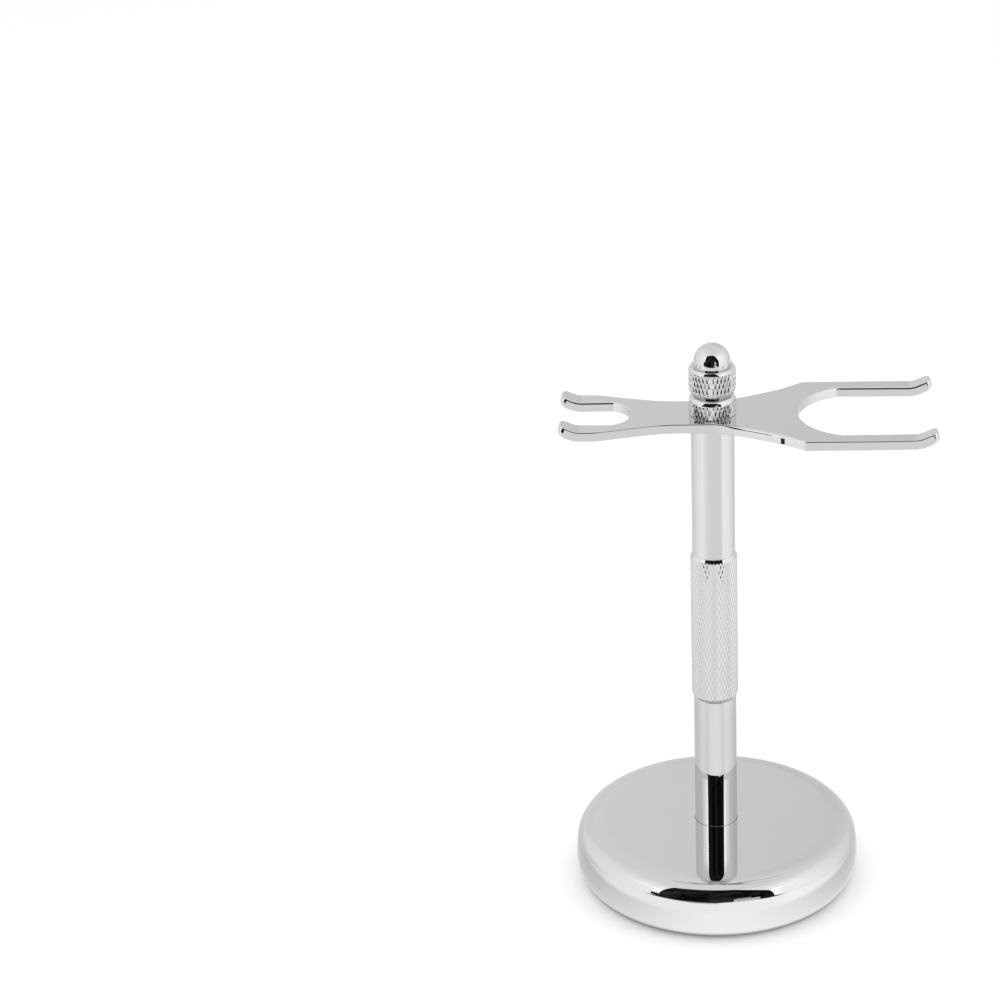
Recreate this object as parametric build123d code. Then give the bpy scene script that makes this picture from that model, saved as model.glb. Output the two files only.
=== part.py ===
from build123d import *
from math import atan2, cos, pi, radians, sin, sqrt
import os

# Countertop shaving stand: weighted round base, three-section column with a
# grip, a swivelling double-ended fork plate (wide fork for a brush, narrow
# fork for a razor) clamped by a lock nut, and a domed finial.
# Knurls and threads are drawn as plain cylinders.
# Millimetres, +Z up. Origin: centre of the pad's resting face.
# The wide brush fork points to +X, the narrow razor fork to -X.

os.makedirs("parts", exist_ok=True)

# ---------------------------------------------------------------- dimensions
# M6 threads
STUD_R = 3.0                     # screws and studs
TAPPED_R = STUD_R + 0.05         # tapped holes
CLEAR_HOLE_R = 3.3
STUD_CHAMFER = 0.6
DRILL_TIP_H = 1.4                # cone at the blind end of a tapped hole

# base disc
BASE_R = 40.0
BASE_TOP_Z = 17.0                # flat top face
BASE_WALL_TOP_Z = 12.1           # upper end of the plain side wall
BASE_WALL_BOT_Z = 7.2            # lower end of the plain side wall
BASE_FOOT_Z = 0.5                # underside of the rim above the counter
BASE_FOOT_R = 36.8               # outside radius of the rim's underside
PAD_RECESS_R = 34.6
PAD_RECESS_Z = 2.5
WEIGHT_POCKET_R = 31.0
WEIGHT_POCKET_Z = 11.0

# shoulder of the base: two arcs, then a curve that flattens out
# (radius, angle turned from the wall at the end in degrees, steps)
SHOULDER_ARCS = [(3.0, 14.8, 3), (5.9, 50.0, 6)]
FLATTEN_POWER = 2.5
FLATTEN_STEPS = 400
FLATTEN_STRIDE = 50              # steps between kept points
FOOT_STEPS = 6

# ballast and pad
WEIGHT_R = WEIGHT_POCKET_R - 0.2
WEIGHT_BOT_Z = 2.7
WEIGHT_BOT_CHAMFER = 1.0
WEIGHT_TOP_CHAMFER = 0.8
WEIGHT_CBORE_R = 8.0
PAD_R = PAD_RECESS_R - 0.3
PAD_T = 2.4
PAD_EDGE_R = 0.6
PAD_EDGE_MID = 0.17              # inset of the edge arc's middle point

# base screw and its washers
HEAD_R = 5.0
HEAD_FACE_R = 3.4                # flat part of the head's underside
HEAD_ARC_MID = (4.65, 3.35)
HEAD_BOT_Z = 2.75
HEAD_TOP_Z = 5.6
HEAD_RIM_H = 0.5
SCREW_TOP_Z = 30.0
SOCKET_CORNER_R = 2.31
SOCKET_DEPTH = 2.0
BASE_WASHER_T = 1.0
SPRING_WASHER_R, SPRING_WASHER_BORE_R = 4.9, 3.15
SPRING_WASHER_GAP = 0.7
FLAT_WASHER_R, FLAT_WASHER_BORE_R = 6.5, 3.2
FLAT_WASHER_CHAMFER = 0.2
SPRING_WASHER_TOP_Z = HEAD_TOP_Z + BASE_WASHER_T
WEIGHT_CBORE_Z = SPRING_WASHER_TOP_Z + BASE_WASHER_T

# column
POST_R = 6.0
POST_CHAMFER = 0.2
POST_SEAT_R = POST_R + 0.05      # locating recess in the base
POST_SEAT_Z = 15.8
GASKET_R = 5.8
POST_FOOT_Z = POST_SEAT_Z + 0.4  # on top of the gasket
FOOT_HOLE_TOP_Z = 32.0
GRIP_BOT_Z = 56.8
GRIP_TOP_Z = 101.5
GRIP_R = 6.5
GRIP_CHAMFER_H = 1.25
POST_TOP_Z = 140.3
JOINT_STUD_HALF = 9.6
JOINT_HOLE_DEPTH = 10.4
CLAMP_HOLE_Z = 124.0
CLAMP_STUD_BOT_Z = CLAMP_HOLE_Z + 0.4
CLAMP_STUD_TOP_Z = 154.9
WASHER_SEAT_R = 5.0
WASHER_SEAT_Z = 139.6
BEARING_WASHER_R, BEARING_WASHER_BORE_R = 4.85, 3.2

# fork plate
PLATE_BOT_Z = POST_TOP_Z + 0.1
PLATE_T = 2.8
PLATE_TOP_Z = PLATE_BOT_Z + PLATE_T
PLATE_HOLE_R = 3.08
BRUSH_TIP_X = 60.25
BRUSH_BEND_X = 53.4              # start of the upturned tip
BRUSH_TIP_RUN = 6.0              # horizontal run of the tip's upper face
BRUSH_FORK_HALF = 20.2
BRUSH_GAP_HALF = 15.35
BRUSH_THROAT_X = 23.1
BRUSH_THROAT_R = 16.5
BRUSH_GAP_X = 34.5               # where the throat meets the gap's sides
BRUSH_SHOULDER_X = 24.6
BRUSH_SHOULDER_HALF = BRUSH_FORK_HALF - 0.05
BRUSH_WIDEST = (44.0, BRUSH_FORK_HALF + 0.05)
BRUSH_END_HALF = BRUSH_FORK_HALF - 0.3
RAZOR_TIP_X = -41.65
RAZOR_BEND_X = -35.4
RAZOR_TIP_RUN = 5.45
RAZOR_FORK_HALF = 12.75
RAZOR_GAP_HALF = 7.2
RAZOR_THROAT_X = -22.2
RAZOR_THROAT_R = 8.0
RAZOR_GAP_X = -27.2
RAZOR_SHOULDER_X = -33.0
WAIST_HALF = 7.95
WAIST_RAZOR_X = -10.0            # ends of the straight waist
WAIST_BRUSH_X = 0.5
TIP_ANGLE = radians(24.0)        # upturn of the fork tips
TIP_BEND_R = 6.5                 # inside radius of the upturn
TIP_LOWER_R = 0.9                # rounding of the tip's end, underside
TIP_UPPER_R = 0.5                # rounding of the tip's end, upper face
PLAN_CORNER_R = 1.5
PLAN_BLEND_R = 0.8
PLAN_WAIST_R = 3.0
PLAN_OVERRUN = 0.2               # outline past the tips, cut by the profile
SLOT_OVERRUN = 4.0
EDGE_RADII = (0.35, 0.25, 0.15)  # softened plate edges, in order of preference

# Half-outline flanks of the plate, as (x, y) spline points.
RAZOR_FLANK = [
    (RAZOR_SHOULDER_X, RAZOR_FORK_HALF), (-28.6, 11.95), (-23.4, 10.45),
    (-18.5, 9.2), (-14.2, 8.3), (WAIST_RAZOR_X, WAIST_HALF),
]
BRUSH_FLANK = [
    (WAIST_BRUSH_X, WAIST_HALF), (6.6, 10.05), (12.9, 12.95),
    (18.8, 16.15), (BRUSH_SHOULDER_X, BRUSH_SHOULDER_HALF),
]

# clamp and finial
DISC_SPRING_R, DISC_SPRING_BORE_R = 5.2, 3.2
DISC_SPRING_T = 0.42             # also the height of its cone
NUT_R = 6.4                      # over the knurls of both nuts
NUT_CHAMFER = 0.25
NUT_CBORE_R = 5.5
NUT_CBORE_Z = PLATE_TOP_Z + 1.0
NUT_KNURL_TOP_Z = 147.3
NUT_SHOULDER_R = 1.6
NUT_SHOULDER_ANGLE = radians(55.0)
NUT_TOP_R = 5.0
NUT_TOP_Z = 148.9
FINIAL_SEAT_R = 4.95
FINIAL_SEAT_CHAMFER = (0.1, 0.15)
FINIAL_FOOT_MID = (6.036, 149.795)
FINIAL_KNURL_BOT_Z = 150.95
FINIAL_KNURL_TOP_Z = 156.3
FINIAL_TOP_Z = 157.0
FINIAL_BEVEL_W = 0.55
DOME_R = 5.03
DOME_CENTRE_Z = 158.25
SPIGOT_R = 2.98
SPIGOT_TIP_R = 2.7
SPIGOT_BOT_Z = 155.4
SPIGOT_CHAMFER_H = 0.3


# ------------------------------------------------------------------- helpers
def in_section(point):
    """An (r, z) or (x, z) pair as a point in the XZ plane."""
    return (point[0], 0, point[1])


def lines(*points):
    return [Line(start, end) for start, end in zip(points, points[1:])]


def face_of(curves):
    return Face(Wire([curve.edge() for curve in curves]))


def turned(path):
    """Solid of revolution about Z. path: (r, z) points joined by lines; an
    entry (rm, zm, r, z) is an arc through (rm, zm) to (r, z)."""
    curves = []
    here = in_section(path[0])
    for step in path[1:]:
        end = in_section(step[-2:])
        if len(step) == 2:
            curves.append(Line(here, end))
        else:
            curves.append(ThreePointArc(here, in_section(step[:2]), end))
        here = end
    curves.append(Line(here, in_section(path[0])))
    return revolve(face_of(curves), Axis.Z, 360)


def tube(outer_r, bore_r, bottom, top):
    return turned([(bore_r, bottom), (outer_r, bottom), (outer_r, top), (bore_r, top)])


def stud(bottom, top):
    """M6 stud on the Z axis with chamfered ends."""
    end_r = STUD_R - STUD_CHAMFER
    return turned([
        (0, bottom),
        (end_r, bottom),
        (STUD_R, bottom + STUD_CHAMFER),
        (STUD_R, top - STUD_CHAMFER),
        (end_r, top),
        (0, top),
    ])


def joint_stud(joint_z):
    return stud(joint_z - JOINT_STUD_HALF, joint_z + JOINT_STUD_HALF)


def blind_holes(upper_end, lower_end):
    """Path of a column section's two tapped hole ends, from the top down."""
    return [
        (TAPPED_R, upper_end),
        (0, upper_end - DRILL_TIP_H),
        (0, lower_end + DRILL_TIP_H),
        (TAPPED_R, lower_end),
    ]


parts = {}


# ---------------------------------------------------------------- base disc
def shoulder_points():
    """(r, z) points of the base's shoulder, from the wall to the flat top."""
    r, z = BASE_R, BASE_WALL_TOP_Z
    points = [(r, z)]
    start = 0.0
    for arc_r, end_degrees, steps in SHOULDER_ARCS:
        end = radians(end_degrees)
        for i in range(steps):
            before = start + (end - start) * i / steps
            after = start + (end - start) * (i + 1) / steps
            r += arc_r * (cos(after) - cos(before))
            z += arc_r * (sin(after) - sin(before))
            points.append((r, z))
        start = end
    # The tilt dies away as a power of the remaining length.
    tilts = [
        (pi / 2 - start) * (1 - (i + 0.5) / FLATTEN_STEPS) ** FLATTEN_POWER
        for i in range(FLATTEN_STEPS)
    ]
    step_length = (BASE_TOP_Z - z) / sum(sin(tilt) for tilt in tilts)
    for i, tilt in enumerate(tilts):
        r -= cos(tilt) * step_length
        z += sin(tilt) * step_length
        if (i + 1) % FLATTEN_STRIDE == 0:
            points.append((r, z))
    points[-1] = (r, BASE_TOP_Z)
    return points


def foot_points():
    """(r, z) points of the quarter ellipse from the wall to the foot."""
    width = BASE_R - BASE_FOOT_R
    height = BASE_WALL_BOT_Z - BASE_FOOT_Z
    angles = [(FOOT_STEPS - i) / FOOT_STEPS * pi / 2 for i in range(FOOT_STEPS + 1)]
    return [
        (BASE_FOOT_R + width * sin(angle), BASE_WALL_BOT_Z - height * cos(angle))
        for angle in angles
    ]


def base_disc():
    """Shell with a ballast pocket and a shallower pad recess underneath."""
    shoulder = [in_section(point) for point in reversed(shoulder_points())]
    foot = [in_section(point) for point in foot_points()]
    underside = [in_section(point) for point in (
        (PAD_RECESS_R, BASE_FOOT_Z),
        (PAD_RECESS_R, PAD_RECESS_Z),
        (WEIGHT_POCKET_R, PAD_RECESS_Z),
        (WEIGHT_POCKET_R, WEIGHT_POCKET_Z),
        (CLEAR_HOLE_R, WEIGHT_POCKET_Z),
        (CLEAR_HOLE_R, POST_SEAT_Z),
        (POST_SEAT_R, POST_SEAT_Z),
        (POST_SEAT_R, BASE_TOP_Z),
    )]
    outline = [
        Line(underside[-1], shoulder[0]),
        Spline(*shoulder, tangents=[(1, 0, 0), (0, 0, -1)]),
        Line(shoulder[-1], foot[0]),
        Spline(*foot, tangents=[(0, 0, -1), (-1, 0, 0)]),
        *lines(foot[-1], *underside),
    ]
    return revolve(face_of(outline), Axis.Z, 360)


parts["base_disc"] = base_disc()

# Ballast: disc in the pocket, clamped by the base screw.
parts["base_weight"] = turned([
    (CLEAR_HOLE_R, WEIGHT_CBORE_Z),
    (WEIGHT_CBORE_R, WEIGHT_CBORE_Z),
    (WEIGHT_CBORE_R, WEIGHT_BOT_Z),
    (WEIGHT_R - WEIGHT_BOT_CHAMFER, WEIGHT_BOT_Z),
    (WEIGHT_R, WEIGHT_BOT_Z + WEIGHT_BOT_CHAMFER),
    (WEIGHT_R, WEIGHT_POCKET_Z - WEIGHT_TOP_CHAMFER),
    (WEIGHT_R - WEIGHT_TOP_CHAMFER, WEIGHT_POCKET_Z),
    (CLEAR_HOLE_R, WEIGHT_POCKET_Z),
])

# Anti-slip pad in the shallow recess, covering the base screw.
parts["base_pad"] = turned([
    (0, 0),
    (PAD_R - PAD_EDGE_R, 0),
    (PAD_R - PAD_EDGE_MID, PAD_EDGE_MID, PAD_R, PAD_EDGE_R),
    (PAD_R, PAD_T),
    (0, PAD_T),
])

# Base screw: socket button head under the ballast, shank up into the column.
screw = turned([
    (0, HEAD_BOT_Z),
    (HEAD_FACE_R, HEAD_BOT_Z),
    (*HEAD_ARC_MID, HEAD_R, HEAD_TOP_Z - HEAD_RIM_H),
    (HEAD_R, HEAD_TOP_Z),
    (STUD_R, HEAD_TOP_Z),
    (STUD_R, SCREW_TOP_Z - STUD_CHAMFER),
    (STUD_R - STUD_CHAMFER, SCREW_TOP_Z),
    (0, SCREW_TOP_Z),
])
hex_socket = extrude(RegularPolygon(SOCKET_CORNER_R, 6), SOCKET_DEPTH)
parts["base_screw"] = screw - Pos(0, 0, HEAD_BOT_Z) * hex_socket

# Split spring washer over the head, then a flat washer against the ballast.
ring = tube(SPRING_WASHER_R, SPRING_WASHER_BORE_R, HEAD_TOP_Z, SPRING_WASHER_TOP_Z)
split = Box(3.0, SPRING_WASHER_GAP, 3.0)
parts["base_spring_washer"] = ring - Pos(4.0, 0, HEAD_TOP_Z + BASE_WASHER_T / 2) * split
parts["base_flat_washer"] = turned([
    (FLAT_WASHER_BORE_R, SPRING_WASHER_TOP_Z),
    (FLAT_WASHER_R - FLAT_WASHER_CHAMFER, SPRING_WASHER_TOP_Z),
    (FLAT_WASHER_R, SPRING_WASHER_TOP_Z + FLAT_WASHER_CHAMFER),
    (FLAT_WASHER_R, WEIGHT_CBORE_Z),
    (FLAT_WASHER_BORE_R, WEIGHT_CBORE_Z),
])

# Fibre washer under the column foot: seals the seat and saves the plating.
parts["foot_gasket"] = tube(GASKET_R, CLEAR_HOLE_R, POST_SEAT_Z, POST_FOOT_Z)

# -------------------------------------------------------------------- column
parts["lower_post"] = turned([
    (TAPPED_R, POST_FOOT_Z),
    (POST_R - POST_CHAMFER, POST_FOOT_Z),
    (POST_R, POST_FOOT_Z + POST_CHAMFER),
    (POST_R, GRIP_BOT_Z),
    (TAPPED_R, GRIP_BOT_Z),
    *blind_holes(GRIP_BOT_Z - JOINT_HOLE_DEPTH, FOOT_HOLE_TOP_Z),
])
parts["lower_joint_stud"] = joint_stud(GRIP_BOT_Z)

# Grip: a solid section with bevelled ends, tapped at both ends.
parts["grip_barrel"] = turned([
    (TAPPED_R, GRIP_BOT_Z),
    (POST_R, GRIP_BOT_Z),
    (GRIP_R, GRIP_BOT_Z + GRIP_CHAMFER_H),
    (GRIP_R, GRIP_TOP_Z - GRIP_CHAMFER_H),
    (POST_R, GRIP_TOP_Z),
    (TAPPED_R, GRIP_TOP_Z),
    *blind_holes(GRIP_TOP_Z - JOINT_HOLE_DEPTH, GRIP_BOT_Z + JOINT_HOLE_DEPTH),
])
parts["upper_joint_stud"] = joint_stud(GRIP_TOP_Z)

# Upper section: tapped at both ends, with a shallow seat for the bearing
# washer on top.
parts["upper_post"] = turned([
    (TAPPED_R, GRIP_TOP_Z),
    (POST_R, GRIP_TOP_Z),
    (POST_R, POST_TOP_Z - POST_CHAMFER),
    (POST_R - POST_CHAMFER, POST_TOP_Z),
    (WASHER_SEAT_R, POST_TOP_Z),
    (WASHER_SEAT_R, WASHER_SEAT_Z),
    (TAPPED_R, WASHER_SEAT_Z),
    *blind_holes(CLAMP_HOLE_Z, GRIP_TOP_Z + JOINT_HOLE_DEPTH),
])
parts["clamp_stud"] = stud(CLAMP_STUD_BOT_Z, CLAMP_STUD_TOP_Z)

# Nylon bearing washer, standing proud of the column end so the plate swivels
# on it and not on the plated rim.
parts["bearing_washer"] = tube(
    BEARING_WASHER_R, BEARING_WASHER_BORE_R, WASHER_SEAT_Z, PLATE_BOT_Z
)


# ---------------------------------------------------------------- fork plate
def mirrored_face(half_curves):
    """Face bounded by half_curves (y >= 0) and their mirror image in y."""
    half = [curve.edge() for curve in half_curves]
    return Face(Wire(half + [edge.mirror(Plane.XZ) for edge in half]))


def throat_slot(apex_x, radius, stop_x, end_x, end_y):
    """A fork opening: a round throat opening into straight sides."""
    side = 1 if end_x > apex_x else -1
    centre_x = apex_x + side * radius
    stop_y = sqrt(radius**2 - (centre_x - stop_x) ** 2)
    apex_angle = pi if side > 0 else 0.0
    mid_angle = (apex_angle + atan2(stop_y, stop_x - centre_x)) / 2
    middle = (centre_x + radius * cos(mid_angle), radius * sin(mid_angle))
    return mirrored_face([
        ThreePointArc((apex_x, 0), middle, (stop_x, stop_y)),
        *lines((stop_x, stop_y), (end_x, end_y), (end_x, 0)),
    ])


def near(shape, x, tolerance=0.02):
    return [vertex for vertex in shape.vertices() if abs(vertex.X - x) < tolerance]


def plate_plan():
    """Outline of the plate seen from above, with both fork openings."""
    brush_end_x = BRUSH_TIP_X + PLAN_OVERRUN
    razor_end_x = RAZOR_TIP_X - PLAN_OVERRUN
    plan = mirrored_face([
        *lines((razor_end_x, 0), (razor_end_x, RAZOR_FORK_HALF), RAZOR_FLANK[0]),
        Spline(*RAZOR_FLANK, tangents=[(1, 0), (1, 0)]),
        Line(RAZOR_FLANK[-1], BRUSH_FLANK[0]),
        Spline(*BRUSH_FLANK, tangents=[(1.0, 0.29), (1.0, 0.76)]),
        *lines(
            BRUSH_FLANK[-1], BRUSH_WIDEST, (brush_end_x, BRUSH_END_HALF), (brush_end_x, 0)
        ),
    ])
    plan = plan - throat_slot(
        BRUSH_THROAT_X, BRUSH_THROAT_R, BRUSH_GAP_X,
        BRUSH_TIP_X + SLOT_OVERRUN, BRUSH_GAP_HALF,
    )
    plan = plan - throat_slot(
        RAZOR_THROAT_X, RAZOR_THROAT_R, RAZOR_GAP_X,
        RAZOR_TIP_X - SLOT_OVERRUN, RAZOR_GAP_HALF,
    )
    plan = fillet(near(plan, brush_end_x) + near(plan, razor_end_x), PLAN_CORNER_R)
    for x in (BRUSH_SHOULDER_X, BRUSH_GAP_X, RAZOR_GAP_X):
        plan = fillet(near(plan, x), PLAN_BLEND_R)
    return fillet(near(plan, WAIST_BRUSH_X), PLAN_WAIST_R)


def tip_points(bend_x, side, run):
    """Side profile of a tip, from the upper face round to the underside."""
    upper_r, lower_r = TIP_BEND_R, TIP_BEND_R + PLATE_T
    straight = (run - upper_r * sin(TIP_ANGLE)) / cos(TIP_ANGLE)

    def tip_point(radius, angle, beyond=0.0):
        x = radius * sin(angle) + beyond * cos(angle)
        z = PLATE_TOP_Z + TIP_BEND_R - radius * cos(angle) + beyond * sin(angle)
        return (bend_x + side * x, 0, z)

    return [
        tip_point(upper_r, 0),
        tip_point(upper_r, TIP_ANGLE / 2),
        tip_point(upper_r, TIP_ANGLE),
        tip_point(upper_r, TIP_ANGLE, straight),
        tip_point(lower_r, TIP_ANGLE, straight),
        tip_point(lower_r, TIP_ANGLE),
        tip_point(lower_r, TIP_ANGLE / 2),
        tip_point(lower_r, 0),
    ]


def tip_curves(points):
    return [ThreePointArc(*points[:3]), *lines(*points[2:6]), ThreePointArc(*points[5:])]


def bent_strip():
    """The plate's side profile, flat with both ends turned up, as a strip."""
    brush = tip_points(BRUSH_BEND_X, 1, BRUSH_TIP_RUN)
    razor = tip_points(RAZOR_BEND_X, -1, RAZOR_TIP_RUN)
    profile = face_of([
        Line(razor[0], brush[0]),
        *tip_curves(brush),
        Line(brush[-1], razor[-1]),
        *tip_curves(razor[::-1]),
    ])
    for corner, radius in ((4, TIP_LOWER_R), (3, TIP_UPPER_R)):
        for tip in (brush, razor):
            profile = fillet(near(profile, tip[corner][0]), radius)
    return extrude(profile, 30, dir=(0, 1, 0), both=True)


def long_edges(body):
    """The outline edges of the plate's two broad faces, hole left out."""
    wanted = []
    for edge in body.edges():
        box = edge.bounding_box()
        size = box.size
        centre = edge.center()
        at_hole = abs(centre.X) < 4 and abs(centre.Y) < 4
        upright = size.Z > 1.3 and size.X < 1.2 and size.Y < 1.2
        if at_hole or upright:
            continue
        flat = size.Z < 1e-4 and (
            abs(box.min.Z - PLATE_TOP_Z) < 1e-3 or abs(box.min.Z - PLATE_BOT_Z) < 1e-3
        )
        bent = (
            RAZOR_TIP_X + 1.4 < centre.X < RAZOR_BEND_X
            or BRUSH_BEND_X < centre.X < BRUSH_TIP_X - 1.4
        )
        if (flat and (size.X > 0.4 or size.Y > 0.4)) or (
            bent and size.X > 0.8 and size.Z < 1.3
        ):
            wanted.append(edge)
    return wanted


def fork_plate():
    blank = Pos(0, 0, PLATE_BOT_Z - 2) * extrude(plate_plan(), 10, dir=(0, 0, 1))
    plate = bent_strip() & blank
    plate = plate - Pos(0, 0, 142) * Cylinder(PLATE_HOLE_R, 12)
    for radius in EDGE_RADII:
        # The kernel may refuse a radius on the bent outline: try the next.
        try:
            softened = fillet(long_edges(plate), radius)
            if len(softened.solids()) == 1 and softened.solids()[0].is_valid:
                return softened
        except Exception:
            continue
    return plate


parts["fork_plate"] = fork_plate()

# -------------------------------------------------------------- clamp, finial
# Disc spring in the lock nut's counterbore: loads the plate on its bearing.
parts["clamp_washer"] = turned([
    (DISC_SPRING_BORE_R, PLATE_TOP_Z + DISC_SPRING_T),
    (DISC_SPRING_R, PLATE_TOP_Z),
    (DISC_SPRING_R, PLATE_TOP_Z + DISC_SPRING_T),
    (DISC_SPRING_BORE_R, PLATE_TOP_Z + 2 * DISC_SPRING_T),
])


def nut_shoulder(angle):
    """(r, z) on the lock nut's shoulder arc, angle measured from its side."""
    return (
        NUT_R - NUT_SHOULDER_R + NUT_SHOULDER_R * cos(angle),
        NUT_KNURL_TOP_Z + NUT_SHOULDER_R * sin(angle),
    )


# Lock nut with a rounded upper shoulder.
parts["lock_nut"] = turned([
    (NUT_CBORE_R, PLATE_TOP_Z),
    (NUT_R - NUT_CHAMFER, PLATE_TOP_Z),
    (NUT_R, PLATE_TOP_Z + NUT_CHAMFER),
    (NUT_R, NUT_KNURL_TOP_Z),
    (*nut_shoulder(NUT_SHOULDER_ANGLE / 2), *nut_shoulder(NUT_SHOULDER_ANGLE)),
    (NUT_TOP_R, NUT_TOP_Z),
    (TAPPED_R, NUT_TOP_Z),
    (TAPPED_R, NUT_CBORE_Z),
    (NUT_CBORE_R, NUT_CBORE_Z),
])

# Finial nut: rounded foot, straight band, bevelled top.
chamfer_w, chamfer_h = FINIAL_SEAT_CHAMFER
parts["finial_nut"] = turned([
    (TAPPED_R, NUT_TOP_Z),
    (FINIAL_SEAT_R, NUT_TOP_Z),
    (FINIAL_SEAT_R + chamfer_w, NUT_TOP_Z + chamfer_h),
    (*FINIAL_FOOT_MID, NUT_R, FINIAL_KNURL_BOT_Z),
    (NUT_R, FINIAL_KNURL_TOP_Z),
    (NUT_R - FINIAL_BEVEL_W, FINIAL_TOP_Z),
    (TAPPED_R, FINIAL_TOP_Z),
])

# Polished dome plugging the finial nut's open end.
dome_diagonal = DOME_R * cos(pi / 4)
parts["finial_dome"] = turned([
    (0, SPIGOT_BOT_Z),
    (SPIGOT_TIP_R, SPIGOT_BOT_Z),
    (SPIGOT_R, SPIGOT_BOT_Z + SPIGOT_CHAMFER_H),
    (SPIGOT_R, FINIAL_TOP_Z),
    (DOME_R, FINIAL_TOP_Z),
    (DOME_R, DOME_CENTRE_Z),
    (dome_diagonal, DOME_CENTRE_Z + dome_diagonal, 0, DOME_CENTRE_Z + DOME_R),
])

# -------------------------------------------------------------------- output
for name, shape in parts.items():
    solids = shape.solids()
    body = solids[0] if len(solids) == 1 else Compound(children=list(solids))
    body.label = name
    export_step(body, os.path.join("parts", name + ".step"))
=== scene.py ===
# Chromed shaving stand: a round weighted base, a column with a knurled grip, and a
# flat plate forked for a brush (+X) and a razor (-X), held by two knurled nuts
# under a dome. The column stands on the Z axis, the pad rests on z = 0 and the
# front faces -Y. Product sizes are in millimetres, the surroundings in metres.
import math
from typing import NamedTuple

import bpy
import numpy as np
from mathutils import Matrix, Vector
from mathutils.geometry import delaunay_2d_cdt


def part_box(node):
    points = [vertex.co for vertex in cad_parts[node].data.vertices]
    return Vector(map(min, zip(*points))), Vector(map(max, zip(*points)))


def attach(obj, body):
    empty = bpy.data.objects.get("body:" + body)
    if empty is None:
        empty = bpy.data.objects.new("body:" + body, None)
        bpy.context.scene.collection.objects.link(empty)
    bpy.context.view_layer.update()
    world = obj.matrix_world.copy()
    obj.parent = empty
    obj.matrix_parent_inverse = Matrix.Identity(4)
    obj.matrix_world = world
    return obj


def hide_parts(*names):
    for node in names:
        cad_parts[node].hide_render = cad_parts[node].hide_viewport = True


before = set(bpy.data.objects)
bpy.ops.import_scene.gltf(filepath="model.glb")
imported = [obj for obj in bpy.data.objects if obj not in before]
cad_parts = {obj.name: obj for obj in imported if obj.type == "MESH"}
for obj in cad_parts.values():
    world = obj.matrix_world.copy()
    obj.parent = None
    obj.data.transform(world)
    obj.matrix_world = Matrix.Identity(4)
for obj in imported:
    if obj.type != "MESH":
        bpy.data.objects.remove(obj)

MM = 0.001
pi = math.pi
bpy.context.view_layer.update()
scene = bpy.context.scene


# ================================================================ shader helpers
FALL = (1.0, 0.0)  # remap target that runs downwards


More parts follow.
